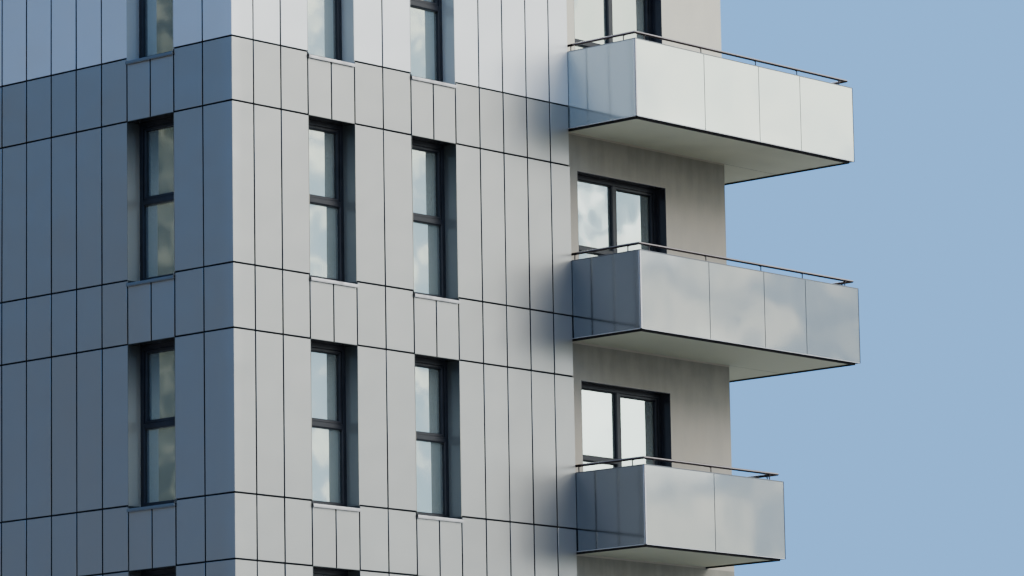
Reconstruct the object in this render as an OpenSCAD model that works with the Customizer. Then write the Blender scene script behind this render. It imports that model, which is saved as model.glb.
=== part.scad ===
/* [Storeys] */
// Height from one storey line to the next
storey_h = 3000; // [2800:10:3400]
// Height of the band of short cassettes below each storey line
band_h = 858; // [700:1:1000]
// Height of the lowest storey line above the ground
plinth_h = 300; // [250:10:600]
// Height of the parapet above the highest storey line
parapet_h = 600; // [400:10:1000]
// Thickness of a floor slab
floor_t = 220; // [160:10:300]
// Thickness of the roof slab with its insulation
roof_t = 400; // [300:10:550]

/* [Block] */
// Depth of the block over its cladding
block_d = 11815; // [10800:5:14000]
// Depth from the cladding's face to the wall's inner face
wall_d = 450; // [380:10:600]
// Set-back of the rendered bay behind the cladding's face
bay_setback = 170; // [120:5:200]

/* [Windows] */
// Width of a window opening
window_w = 895; // [700:5:1000]
// Front: clad pier between the corner and the first window
corner_pier = 1420; // [1200:5:1600]
// Front: clad pier between the two windows
middle_pier = 1105; // [900:5:1300]
// Front: clad pier between the second window and the bay
end_pier = 2365; // [2100:5:2700]
// Side: clad pier between the corner and its window
side_pier = 1093; // [950:1:1400]
// Depth from the face of the cladding to a window's frame
reveal_d = 225; // [180:5:240]
// Depth from the face of the render to a balcony door's frame
door_reveal = 180; // [140:5:190]
// Depth of a window frame
frame_d = 100; // [100:5:110]
// Width of a fixed frame member
frame_w = 65; // [50:5:90]
// Width of a member of an opening sash
sash_w = 45; // [40:5:70]
// Step from the face of a frame back to the face of its sash
sash_step = 12; // [5:1:20]
// Height of the transom's middle above the storey line
transom_z = 1085; // [900:5:1300]
// Height of the transom
transom_h = 110; // [80:5:150]
// Thickness of the glazing
glass_t = 24; // [20:1:28]
// Depth of the glazing behind the face of its frame or sash
glass_in = 50; // [15:5:50]
// Width of a balcony door and its side light together
door_w = 1950; // [1700:10:2100]
// Rendered jamb between the cladding and the balcony door
door_jamb = 350; // [250:10:500]
// Rendered pier between the balcony door and the corner of the bay
bay_corner = 1360; // [900:5:2400]
// Width of the fixed side light of a balcony door
side_light = 1005; // [700:5:1100]

/* [Cladding] */
// Depth of a cassette
cassette_d = 30; // [20:1:50]
// Open joint between two cassettes
joint = 22; // [12:1:30]
// Usual width of a cassette
cassette_w = 495; // [400:5:700]
// Front leg of the cassette that folds round the corner
corner_leg_front = 401; // [300:1:600]
// Side leg of the cassette that folds round the corner
corner_leg_side = 550; // [400:1:700]
// Width of the closing cassette beside the bay
closing_w = 405; // [300:5:600]
// Thickness of the sheet that lines a window opening
lining_t = 6; // [3:1:10]
// Drop from the storey line to the seat of a window sill
sill_drop = 75; // [60:1:110]
// Height of a sill at its nose
sill_h = 42; // [30:1:55]
// Fall of a sill's top from the window frame to its nose
sill_fall = 10; // [5:1:20]
// Drop of a sill's nose below its seat
nose_drop = 12; // [8:1:25]
// Thickness of a sill's nose
nose_t = 8; // [5:1:12]
// Overhang of a sill and of the coping beyond the cladding
drip = 28; // [20:1:40]
// Thickness of the coping's sheet
coping_t = 8; // [5:1:15]
// Height of the coping's skirt
coping_skirt = 70; // [40:5:100]

/* [Balconies] */
// Reach of a balcony beyond the front cladding
balcony_reach = 1250; // [1000:10:1500]
// Reach of a long balcony beyond the rendered right wall
side_reach = 1300; // [1000:10:1500]
// Length of a short balcony over its panels
short_len = 3075; // [2700:5:3400]
// Thickness of a balcony slab
balcony_t = 150; // [120:5:200]
// Depth of a balcony's soffit below the storey line
soffit_drop = 345; // [300:5:400]
// Depth of the drip edge that hangs from a balcony slab
drip_h = 25; // [15:5:40]
// Width of the drip edge
drip_w = 15; // [10:5:30]
// Joint between the front plate and the side plate of a long balcony's slab
slab_joint = 8; // [5:1:15]
// Height of a balcony panel
panel_h = 1115; // [950:5:1200]
// Height of the panels' lower edge above the soffit
panel_lift = 25; // [10:5:60]
// Thickness of a balcony panel
panel_t = 12; // [8:1:20]
// Number of panels along the side of a long balcony
side_count = 4; // [3:1:6]
// Gap between two balcony panels
panel_gap = 12; // [6:1:20]
// Gap between a balcony panel and the edge of the cladding
guard_gap = 5; // [5:1:15]
// Width of the first front panel, counted from the left
first_panel = 1505; // [1200:5:1700]
// Width of the second front panel
second_panel = 1235; // [1000:5:1400]
// Width of the third front panel
third_panel = 955; // [800:5:1200]
// Space between the panels and the edge of the slab, where the posts stand
edge_gap = 45; // [30:5:80]
// Width of a balustrade post
post_w = 60; // [40:5:100]
// Height of a post's foot above the soffit
post_lift = 45; // [30:5:80]
// Depth of a post's top below the top of the panels
post_under = 20; // [5:5:60]
// Distance of a post from a corner of the balcony
post_in = 260; // [180:10:400]
// Distance of a post from the wall that the balcony is on
post_wall = 180; // [120:10:300]
// Diameter of the handrail
rail_dia = 42; // [33:1:60]
// Height of the handrail's axis above the panels
rail_above = 100; // [60:5:150]
// Distance of the handrail's axis from the outer face of the panels
rail_inset = 70; // [50:1:90]
// Thickness of the brackets that lean from the posts to the handrail
bracket_t = 16; // [10:1:24]
// Root gap of a weld between two pieces of the balustrade
weld_gap = 0.3; // [0.2:0.1:0.5]

/* [Hidden] */

storeys = 6;
top_storey = storeys - 1;
short_levels = [1, 2, 3];
long_levels = [4, 5];
grey_storeys = [0 : top_storey - 1];
white_storeys = [top_storey];

// Levels
function line_z(k) = plinth_h + k * storey_h;
function head_z(k) = line_z(k + 1) - band_h;
function seat_z(k) = line_z(k) - sill_drop;
wall_top = line_z(storeys) + parapet_h;

// Places along the walls, counted from the left front corner
bay_u = corner_pier + window_w + middle_pier + window_w + end_pier;
door_u = bay_u + door_jamb;
wall_u = door_u + door_w + bay_corner;
block_w = wall_u + bay_setback;
side_bay_u = bay_setback + wall_u - bay_u;
side_door_u = side_bay_u - door_jamb - door_w;
front_at = [corner_pier, corner_pier + window_w + middle_pier];
side_at = [side_pier, (block_d - window_w) / 2, block_d - side_pier - window_w];
left_at = side_at;
right_at = [side_at[1], side_at[2]];
back_at = [front_at[0], front_at[1], block_w - front_at[1] - window_w,
    block_w - front_at[0] - window_w];

// Clad piers of a wall, between its windows and its two ends
function piers(at, from, to) = [for (i = [0 : len(at)])
    [i == 0 ? from : at[i - 1] + window_w, i == len(at) ? to : at[i]]];
front_runs = piers(front_at, 0, bay_u);
left_runs = piers(left_at, 0, block_d);
right_runs = piers(right_at, side_bay_u, block_d);
back_runs = piers(back_at, 0, block_w);

// Joints that divide a stretch into equal cassettes near the usual width
function even(u0, u1) = let (n = max(1, round((u1 - u0) / cassette_w)))
    [for (i = [0 : n]) u0 + (u1 - u0) * i / n];

// Walls: each draws its children in a frame with X along the wall, Y inwards and Z up
module centred() translate([-block_w / 2, -block_d / 2, 0]) children();
module on_front() centred() children();
module on_left() centred() mirror([1, -1, 0]) children();
module on_back() centred() translate([0, block_d, 0]) mirror([0, 1, 0]) children();
module on_right() centred() translate([block_w, 0, 0]) mirror([1, 0, 0])
    mirror([1, -1, 0]) children();

module block(u, d, z) translate([u[0], d[0], z[0]])
    cube([u[1] - u[0], d[1] - d[0], z[1] - z[0]]);

// Structure
module base_slab() color("dimgray") centred()
    block([bay_setback, block_w - bay_setback], [bay_setback, block_d - bay_setback],
        [0, seat_z(0)]);

module inner_slab(z) centred()
    block([wall_d, block_w - wall_d], [wall_d, block_d - wall_d], z);

module floor_slab(k) color("lightgray") inner_slab([seat_z(k) - floor_t, seat_z(k)]);

module roof_slab() color("gray")
    inner_slab([seat_z(storeys) - floor_t, seat_z(storeys) - floor_t + roof_t]);

module wall_piers(runs, from, to) color("darkslategray") for (r = runs)
    block([max(r[0], from), min(r[1], to)], [cassette_d, wall_d], [seat_z(0), wall_top]);

module storey_fill(u, d) for (k = [1 : storeys])
    block(u, d, [line_z(k) - band_h, k == storeys ? wall_top : seat_z(k)]);

module spandrels(at) color("darkslategray") for (u = at)
    storey_fill([u, u + window_w], [cassette_d, wall_d]);

module bay_wall(from, door, to) color("darkkhaki") for (r = [[from, door], [door + door_w, to]])
    block(r, [bay_setback, wall_d], [seat_z(0), wall_top]);

module bay_lintels() color("darkkhaki") {
    on_front() storey_fill([door_u, door_u + door_w], [bay_setback, wall_d]);
    on_right() storey_fill([side_door_u, side_door_u + door_w], [bay_setback, wall_d]);
}

// Outline of the block at a distance outside its cladding and its rendered bay
function outline(o) = [[-o, -o], [bay_u + o, -o], [bay_u + o, bay_setback - o],
    [wall_u + o, bay_setback - o], [wall_u + o, side_bay_u - o], [block_w + o, side_bay_u - o],
    [block_w + o, block_d + o], [-o, block_d + o]];

module ring(out, in, z0, z1) translate([0, 0, z0]) linear_extrude(z1 - z0) difference() {
    polygon(outline(out));
    translate([wall_d + in, wall_d + in])
        square([block_w - 2 * (wall_d + in), block_d - 2 * (wall_d + in)]);
}

// Folded sheet: a flat top over the wall with a skirt down both of its faces
module coping() color("silver") centred() {
    ring(drip, drip, wall_top, wall_top + coping_t);
    translate([0, 0, wall_top - coping_skirt]) linear_extrude(coping_skirt) {
        difference() {
            polygon(outline(drip));
            polygon(outline(drip - coping_t));
        }
        difference() {
            translate([wall_d + drip - coping_t, wall_d + drip - coping_t])
                square([block_w - 2 * (wall_d + drip - coping_t),
                    block_d - 2 * (wall_d + drip - coping_t)]);
            translate([wall_d + drip, wall_d + drip])
                square([block_w - 2 * (wall_d + drip), block_d - 2 * (wall_d + drip)]);
        }
    }
}

// Cladding: one cassette between two joints; trim says how much each side draws back
module cassette(u, z, trim = [joint / 2, joint / 2, joint / 2, joint / 2])
    block([u[0] + trim[0], u[1] - trim[1]], [0, cassette_d], [z[0] + trim[2], z[1] - trim[3]]);

// A row of cassettes along one pier, its free ends drawn back by end_trim
module cassette_row(cuts, z, end_trim, top_trim) for (i = [0 : len(cuts) - 2])
    cassette([cuts[i], cuts[i + 1]], z, [i == 0 ? end_trim : joint / 2,
        i == len(cuts) - 2 ? end_trim : joint / 2, joint / 2, top_trim]);

// Two half cassettes over a window, under the sill of the window above
module spandrel_cassettes(u, k) {
    top = k == storeys ? [line_z(k), joint / 2] : [seat_z(k), 0];
    for (half = [0, 1]) cassette([u + half * window_w / 2, u + (half + 1) * window_w / 2],
        [line_z(k) - band_h, top[0]], [joint / 2, joint / 2, 0, top[1]]);
}

module wall_cassettes(cuts_list, at, ks) for (k = ks) {
    for (cuts = cuts_list) {
        cassette_row(cuts, [line_z(k), head_z(k)], 0, joint / 2);
        cassette_row(cuts, [head_z(k), line_z(k + 1)], joint / 2, joint / 2);
    }
    for (u = at) spandrel_cassettes(u, k + 1);
}

module parapet_cassettes(cuts_list, at) {
    for (cuts = cuts_list)
        cassette_row(cuts, [line_z(storeys), wall_top], joint / 2, 0);
    for (u = at) cassette_row([u, u + window_w / 2, u + window_w],
        [line_z(storeys), wall_top], joint / 2, 0);
}

front_cuts = [even(corner_leg_front, front_runs[0][1]), even(front_runs[1][0], front_runs[1][1]),
    concat(even(front_runs[2][0], bay_u - closing_w), [bay_u])];
left_cuts = [even(corner_leg_side, left_runs[0][1]), even(left_runs[1][0], left_runs[1][1]),
    even(left_runs[2][0], left_runs[2][1]), even(left_runs[3][0], block_d - corner_leg_side)];
right_cuts = [even(side_bay_u, right_runs[0][1]), even(right_runs[1][0], right_runs[1][1]),
    even(right_runs[2][0], block_d - corner_leg_side)];
back_cuts = [even(corner_leg_front, back_runs[0][1]), even(back_runs[1][0], back_runs[1][1]),
    even(back_runs[2][0], back_runs[2][1]), even(back_runs[3][0], back_runs[3][1]),
    even(back_runs[4][0], block_w - corner_leg_front)];

// Cassette that folds round a corner of the block, one leg along each wall
module corner_cassette(z, top_trim) translate([0, 0, z[0] + joint / 2])
    linear_extrude(z[1] - z[0] - joint / 2 - top_trim) difference() {
        square([corner_leg_front - joint / 2, corner_leg_side - joint / 2]);
        translate([cassette_d, cassette_d]) square([corner_leg_front, corner_leg_side]);
    }

module at_corners() {
    centred() children();
    on_back() children();
    centred() translate([block_w, block_d, 0]) rotate([0, 0, 180]) children();
}

module corner_cassettes(ks) at_corners() for (k = ks) {
    corner_cassette([line_z(k), head_z(k)], joint / 2);
    corner_cassette([head_z(k), line_z(k + 1)], joint / 2);
}

module top_cassettes() color("white") {
    on_front() wall_cassettes(front_cuts, front_at, white_storeys);
    on_left() wall_cassettes(left_cuts, left_at, white_storeys);
    on_right() wall_cassettes(right_cuts, right_at, white_storeys);
    on_back() wall_cassettes(back_cuts, back_at, white_storeys);
    corner_cassettes(white_storeys);
    on_front() parapet_cassettes(front_cuts, front_at);
    on_left() parapet_cassettes(left_cuts, left_at);
    on_right() parapet_cassettes(right_cuts, right_at);
    on_back() parapet_cassettes(back_cuts, back_at);
    at_corners() corner_cassette([line_z(storeys), wall_top], 0);
}

// Windows: in every column one on each storey
module each_window(at) for (u = at, k = [0 : top_storey])
    translate([u, 0, seat_z(k)]) children();
opening_h = storey_h - band_h + sill_drop;

module all_windows() {
    on_front() each_window(front_at) children();
    on_left() each_window(left_at) children();
    on_right() each_window(right_at) children();
    on_back() each_window(back_at) children();
}

module all_doors() {
    on_front() each_window([door_u]) children();
    on_right() each_window([side_door_u]) children();
}

// Sheet lining of the two sides and the head of an opening
cut = 1;
module lining(width, depth) difference() {
    block([0, width], [0, depth], [sill_h, opening_h]);
    block([lining_t, width - lining_t], [-cut, depth + cut], [sill_h - cut, opening_h - lining_t]);
}

// Folded sill, sloping to a nose that hangs past the wall's face
module sill(length, face, depth) rotate([90, 0, 90]) linear_extrude(length) polygon(
    let (nose = face - drip) [[face + depth, 0], [face + depth, sill_h],
        [nose, sill_h - sill_fall], [nose, -nose_drop], [nose + nose_t, -nose_drop],
        [nose + nose_t, 0]]);

// Cuts through a frame: a fixed light, and a sash whose face lies a step behind the frame's
module fixed(hole) block(hole[0], [-cut, frame_d + cut], hole[1]);
function sash_hole(sash) = [[sash[0][0] + sash_w, sash[0][1] - sash_w],
    [sash[1][0] + sash_w, sash[1][1] - sash_w]];
module opening(sash) {
    block(sash[0], [-cut, sash_step], sash[1]);
    fixed(sash_hole(sash));
}

// Frame with an opening sash over a fixed light
transom_top = transom_z + sill_drop + transom_h / 2;
window_sash = [[frame_w, window_w - frame_w], [transom_top - sash_w, opening_h - frame_w]];
window_light = [[frame_w, window_w - frame_w], [sill_h + frame_w, transom_top - transom_h]];
module window_frame() translate([0, reveal_d, 0]) difference() {
    block([0, window_w], [0, frame_d], [sill_h, opening_h]);
    opening(window_sash);
    fixed(window_light);
}

// Fixed side light on the left, divided by a transom, and an opening leaf on the right
door_face = bay_setback + door_reveal;
door_foot = sill_h + frame_w;
door_head = opening_h - frame_w;
side_u = [frame_w, side_light - frame_w / 2];
side_transom = transom_z + sill_drop;
upper_light = [side_u, [side_transom + frame_w / 2, door_head]];
lower_light = [side_u, [door_foot, side_transom - frame_w / 2]];
door_leaf = [[side_light + frame_w / 2, door_w - frame_w], [door_foot, door_head]];
module door_frame() translate([0, door_face, 0]) difference() {
    block([0, door_w], [0, frame_d], [sill_h, opening_h]);
    opening(door_leaf);
    fixed(upper_light);
    fixed(lower_light);
}

module pane(hole, d) block(hole[0], [d + glass_in, d + glass_in + glass_t], hole[1]);
module window_glass() {
    pane(sash_hole(window_sash), reveal_d + sash_step);
    pane(window_light, reveal_d);
}
module door_glass() {
    pane(sash_hole(door_leaf), door_face + sash_step);
    pane(upper_light, door_face);
    pane(lower_light, door_face);
}

// Balconies: u and d as on the front wall, outwards negative
guard_u = bay_u + guard_gap;
guard_d = -balcony_reach;
short_end_u = guard_u + short_len;
long_end_u = wall_u + side_reach;
long_end_d = side_bay_u - guard_gap;

// Slabs: their edges lie behind the posts, which stand behind the panels. A drip edge hangs from the
// outer edges, so that rain doesn't run in along the soffit.
edge_in = panel_t + edge_gap;
slab_left = guard_u + edge_in;
slab_front = guard_d + edge_in;
slab_back = long_end_d - edge_in;
drip_from = slab_front + drip_w + weld_gap;
module slab_plate(u, d) block(u, d, [drip_h - soffit_drop, balcony_t - soffit_drop]);
module drip(u, d) block(u, d, [-soffit_drop, drip_h - soffit_drop - weld_gap]);
module front_drips(slab_right, right_to) {
    drip([slab_left, slab_right], [slab_front, slab_front + drip_w]);
    drip([slab_left, slab_left + drip_w], [drip_from, bay_setback]);
    drip([slab_right - drip_w, slab_right], [drip_from, right_to]);
}

module short_balcony_slab(slab_right) {
    slab_plate([slab_left, slab_right], [slab_front, bay_setback]);
    front_drips(slab_right, bay_setback);
}

module long_balcony_slab(slab_right) {
    slab_plate([slab_left, slab_right], [slab_front, bay_setback]);
    slab_plate([wall_u, slab_right], [bay_setback + slab_joint, slab_back]);
    front_drips(slab_right, slab_back - drip_w - weld_gap);
    drip([wall_u, slab_right], [slab_back - drip_w, slab_back]);
}

module balcony_slab(k) color("lightgray") centred() translate([0, 0, line_z(k)]) {
    if (len(search(k, long_levels)) > 0) long_balcony_slab(long_end_u - edge_in);
    else short_balcony_slab(short_end_u - edge_in);
}

panel_z = [panel_lift - soffit_drop, panel_lift + panel_h - soffit_drop];
// Panels between joints along u, their outer face at d
module front_panels(cuts) for (i = [0 : len(cuts) - 2])
    block([cuts[i] + (i == 0 ? 0 : panel_gap / 2), cuts[i + 1] - (i == len(cuts) - 2 ? 0
        : panel_gap / 2)], [guard_d, guard_d + panel_t], panel_z);
// Panels between joints along d, from u to u + panel_t
module side_panels(u, cuts) for (i = [0 : len(cuts) - 2])
    block([u, u + panel_t], [cuts[i] + (i == 0 ? 0 : panel_gap / 2),
        cuts[i + 1] - (i == len(cuts) - 2 ? 0 : panel_gap / 2)], panel_z);

joint_1 = guard_u + first_panel;
joint_2 = joint_1 + second_panel;
joint_3 = joint_2 + third_panel;
side_from = guard_d + panel_t + guard_gap;
side_joints = [for (i = [1 : side_count - 1])
    guard_d + (long_end_d - guard_d) * i / side_count];

module short_panels() {
    front_panels([guard_u, joint_1, short_end_u]);
    side_panels(guard_u, [side_from, bay_setback]);
    side_panels(short_end_u - panel_t, [side_from, bay_setback]);
}

module long_panels() {
    front_panels([guard_u, joint_1, joint_2, joint_3, long_end_u]);
    side_panels(guard_u, [side_from, bay_setback]);
    side_panels(long_end_u - panel_t, concat([side_from], side_joints, [long_end_d]));
    block([wall_u, long_end_u - panel_t - guard_gap], [long_end_d - panel_t, long_end_d],
        panel_z);
}

module at_levels(ks) for (k = ks) centred() translate([0, 0, line_z(k)]) children();

// Handrail: straight tubes whose ends are mitred where the next one turns off to the left
rail_z = panel_z[1] + rail_above;
module tube_run(a, b, turns) {
    v = b - a;
    from = weld_gap;
    to = norm(v) - weld_gap;
    translate([a[0], a[1], rail_z]) rotate([0, 0, atan2(v[1], v[0])]) intersection() {
        translate([-rail_dia, 0, 0]) rotate([0, 90, 0])
            cylinder(h = norm(v) + 2 * rail_dia, d = rail_dia, $fn = 32);
        translate([0, 0, -rail_dia]) linear_extrude(2 * rail_dia) polygon([
            [from - rail_dia * turns[0], -rail_dia], [to + rail_dia * turns[1], -rail_dia],
            [to - rail_dia * turns[1], rail_dia], [from + rail_dia * turns[0], rail_dia]]);
    }
}
module rail(points) for (i = [0 : len(points) - 2])
    tube_run(points[i], points[i + 1], [i > 0 ? 1 : 0, i < len(points) - 2 ? 1 : 0]);

// Post bolted to the slab's edge, and the flat bracket that leans in from it to the handrail
post_top = panel_z[1] - post_under;
module post() {
    block([-post_w / 2, post_w / 2], [panel_t, edge_in], [post_lift - soffit_drop, post_top]);
    translate([-bracket_t / 2, 0, 0]) rotate([90, 0, 90]) linear_extrude(bracket_t)
        polygon(let (foot = panel_t + edge_gap / 2, half = bracket_t / 2,
            z0 = post_top + weld_gap, z1 = rail_z - rail_dia / 2 - weld_gap)
            [[foot - half, z0], [foot + half, z0], [rail_inset + half, z1],
            [rail_inset - half, z1]]);
}

// Places of posts: a point on the panels' outer face and the turn of that side of the balcony
function on_front_edge(us) = [for (u = us) [u, guard_d, 0]];
function on_left_edge(ds) = [for (d = ds) [guard_u, d, -90]];
function on_right_edge(u, ds) = [for (d = ds) [u, d, 90]];
function on_end_edge(us) = [for (u = us) [u, long_end_d, 180]];
module posts(places) for (p = places) translate([p[0], p[1], 0]) rotate([0, 0, p[2]]) post();

rail_u = guard_u + rail_inset;
rail_d = guard_d + rail_inset;
side_posts = [guard_d + post_in, bay_setback - post_wall];

module short_handrail() {
    rail([[rail_u, bay_setback], [rail_u, rail_d], [short_end_u - rail_inset, rail_d],
        [short_end_u - rail_inset, bay_setback]]);
    posts(concat(on_front_edge([guard_u + post_in, joint_1, short_end_u - post_in]),
        on_left_edge(side_posts), on_right_edge(short_end_u, side_posts)));
}

module long_handrail() {
    rail([[rail_u, bay_setback], [rail_u, rail_d], [long_end_u - rail_inset, rail_d],
        [long_end_u - rail_inset, long_end_d - rail_inset], [wall_u, long_end_d - rail_inset]]);
    posts(concat(
        on_front_edge([guard_u + post_in, joint_1, joint_2, joint_3, long_end_u - post_in]),
        on_left_edge(side_posts),
        on_right_edge(long_end_u, concat([guard_d + post_in], side_joints,
            [long_end_d - post_in])),
        on_end_edge([wall_u + post_wall, long_end_u - post_in])));
}

base_slab();
for (k = [1 : top_storey]) floor_slab(k);
roof_slab();
on_front() wall_piers(front_runs, cassette_d, bay_u);  // front_piers
on_left() wall_piers(left_runs, wall_d, block_d - wall_d);  // left_piers
on_right() wall_piers(right_runs, side_bay_u, block_d - wall_d);  // right_piers
on_back() wall_piers(back_runs, cassette_d, block_w - cassette_d);  // back_piers
on_front() bay_wall(bay_u, door_u, wall_u);  // front_bay_wall
on_right() bay_wall(wall_d, side_door_u, side_bay_u);  // right_bay_wall
on_front() spandrels(front_at);  // front_spandrels
on_left() spandrels(left_at);  // left_spandrels
on_right() spandrels(right_at);  // right_spandrels
on_back() spandrels(back_at);  // back_spandrels
bay_lintels();
coping();
color("lightgray") on_front() wall_cassettes(front_cuts, front_at, grey_storeys);  // front_cassettes
color("lightgray") on_left() wall_cassettes(left_cuts, left_at, grey_storeys);  // left_cassettes
color("lightgray") on_right() wall_cassettes(right_cuts, right_at, grey_storeys);  // right_cassettes
color("lightgray") on_back() wall_cassettes(back_cuts, back_at, grey_storeys);  // back_cassettes
color("lightgray") corner_cassettes(grey_storeys);
top_cassettes();
color("gray") {  // window_linings
    all_windows() lining(window_w, reveal_d);
    all_doors() translate([0, bay_setback, 0]) lining(door_w, door_reveal);
}
color("silver") {  // window_sills
    all_windows() sill(window_w, 0, reveal_d);
    all_doors() sill(door_w, bay_setback, door_reveal);
}
color("#20242c") on_front() each_window(front_at) window_frame();  // front_window_frames
color("#20242c") on_left() each_window(left_at) window_frame();  // left_window_frames
color("#20242c") on_right() each_window(right_at) window_frame();  // right_window_frames
color("#20242c") on_back() each_window(back_at) window_frame();  // back_window_frames
color("#20242c") all_doors() door_frame();  // balcony_door_frames
color("skyblue") on_front() {  // front_glass
    each_window(front_at) window_glass();
    each_window([door_u]) door_glass();
}
color("skyblue") on_left() each_window(left_at) window_glass();  // left_glass
color("skyblue") on_right() {  // right_glass
    each_window(right_at) window_glass();
    each_window([side_door_u]) door_glass();
}
color("skyblue") on_back() each_window(back_at) window_glass();  // back_glass
for (k = concat(short_levels, long_levels))
    balcony_slab(k);
color("lightsteelblue") at_levels(short_levels) short_panels();  // short_balcony_panels
color("lightsteelblue") at_levels(long_levels) long_panels();  // long_balcony_panels
color("silver") at_levels(short_levels) short_handrail();  // short_handrails
color("silver") at_levels(long_levels) long_handrail();  // long_handrails
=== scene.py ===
import math

import bpy
import numpy as np
from mathutils import Matrix, Vector


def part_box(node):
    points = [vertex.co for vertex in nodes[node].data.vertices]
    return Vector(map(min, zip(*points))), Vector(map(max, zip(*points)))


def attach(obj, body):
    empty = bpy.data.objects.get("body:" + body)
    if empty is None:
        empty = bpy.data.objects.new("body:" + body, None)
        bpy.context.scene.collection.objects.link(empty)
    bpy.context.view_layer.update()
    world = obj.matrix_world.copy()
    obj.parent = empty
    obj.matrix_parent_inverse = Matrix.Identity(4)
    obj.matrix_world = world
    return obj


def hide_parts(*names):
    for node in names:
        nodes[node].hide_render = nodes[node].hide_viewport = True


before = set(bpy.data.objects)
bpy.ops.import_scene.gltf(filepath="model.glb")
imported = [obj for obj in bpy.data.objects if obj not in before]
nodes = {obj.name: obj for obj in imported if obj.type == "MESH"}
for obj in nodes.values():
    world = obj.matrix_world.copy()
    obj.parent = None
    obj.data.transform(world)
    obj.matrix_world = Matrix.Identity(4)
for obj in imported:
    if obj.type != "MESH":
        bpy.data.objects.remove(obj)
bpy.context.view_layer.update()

# Camera: stands low, some 63 m from the corner of the block, and looks up through a long lens, so that
# the storeys hardly converge. Its distances count from the foot of that corner.
corner_foot = Vector(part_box("corner_cassettes")[0][:2])
camera_back = Vector((41.352, 41.739))
camera_height = 2.212
camera_yaw, camera_pitch, camera_roll = 0.84211, 0.16357, -0.01713
camera_lens = 161.58
camera_reach = 600.0

ahead = Vector((math.sin(camera_yaw) * math.cos(camera_pitch),
                math.cos(camera_yaw) * math.cos(camera_pitch), math.sin(camera_pitch)))
level = Vector((math.cos(camera_yaw), -math.sin(camera_yaw), 0))
upright = level.cross(ahead)
right = level * math.cos(camera_roll) + upright * math.sin(camera_roll)
up = upright * math.cos(camera_roll) - level * math.sin(camera_roll)
camera = bpy.data.objects.new("photo_view", bpy.data.cameras.new("photo_view"))
camera.data.lens = camera_lens
camera.data.clip_end = camera_reach
camera.matrix_world = Matrix((right, up, -ahead)).transposed().to_4x4()
camera.location = (*(corner_foot - camera_back), camera_height)
bpy.context.scene.collection.objects.link(camera)
bpy.context.scene.camera = camera


# Surround and lamps: soft studio light, bright in front with pale and cool patches for the panes to
# mirror, and dull behind. A broad lamp lights the front and a weaker one the back, and the camera sees
# a plain backdrop. The pairs of numbers are the start and the end of smooth steps.
class Wire:
    """An output socket of the node graph being built. Arithmetic on it adds the Math nodes for it."""

    graph = None

    def __init__(self, socket):
        self.socket = socket

    @classmethod
    def add(cls, kind, inputs=None, out=0, **settings):
        """Adds a node with its settings, fills its sockets with values or Wires, returns an output."""
        node = cls.graph.nodes.new(kind)
        for key, value in settings.items():
            setattr(node, key, value)
        for key, value in (inputs or {}).items():
            if isinstance(value, Wire):
                cls.graph.links.new(value.socket, node.inputs[key])
            else:
                node.inputs[key].default_value = value
        return None if out is None else cls(node.outputs[out])

    def maths(self, operation, other=0.0, turned=False):
        """A Math node on it and the other, or on the two the other way round."""
        pair = (other, self) if turned else (self, other)
        return Wire.add("ShaderNodeMath", {0: pair[0], 1: pair[1]}, operation=operation)

    def __add__(self, other):
        return self.maths("ADD", other)

    def __sub__(self, other):
        return self.maths("SUBTRACT", other)

    def __rsub__(self, other):
        return self.maths("SUBTRACT", other, turned=True)

    def __mul__(self, other):
        return self.maths("MULTIPLY", other)

    def __abs__(self):
        return self.maths("ABSOLUTE")

    __radd__ = __add__
    __rmul__ = __mul__

    def over(self, length):
        """What it holds beyond its last whole length."""
        return self.maths("FLOORED_MODULO", length)

    def above(self, start, end):
        """0 below start, 1 above end and a smooth step between them."""
        return Wire.add("ShaderNodeMapRange", {"Value": self, "From Min": start, "From Max": end},
                        interpolation_type="SMOOTHSTEP")

    def between(self, rise, fall):
        """1 between two smooth steps, each given as its start and end, and 0 outside them."""
        return self.above(*rise) * (1 - self.above(*fall))

    def part(self, axis):
        """Part of a vector along X, Y or Z."""
        return Wire.add("ShaderNodeSeparateXYZ", {"Vector": self}, out=axis)

    def along(self, way):
        """Part of a vector along a way of length 1: the sum of the products."""
        return Wire.add("ShaderNodeVectorMath", {0: self, 1: way}, out="Value", operation="DOT_PRODUCT")


def blend(factor, one, other):
    """Colour that goes from one to other with the factor."""
    return Wire.add("ShaderNodeMix", {0: factor, 6: one, 7: other}, out=2, data_type="RGBA")


def place():
    """Object coordinates, which are metres in the part's frame."""
    return Wire.add("ShaderNodeTexCoord", out="Object")


def noise(scale, detail=2.0, stretch=(1, 1, 1), rough=0.5, at=None):
    """Soft noise about 0.5 on Object coordinates, or on another vector, that is stretched first."""
    stretched = Wire.add("ShaderNodeMapping", {"Vector": at or place(), "Scale": stretch})
    return Wire.add("ShaderNodeTexNoise", {"Vector": stretched, "Scale": scale, "Detail": detail,
                                           "Roughness": rough})


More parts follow.
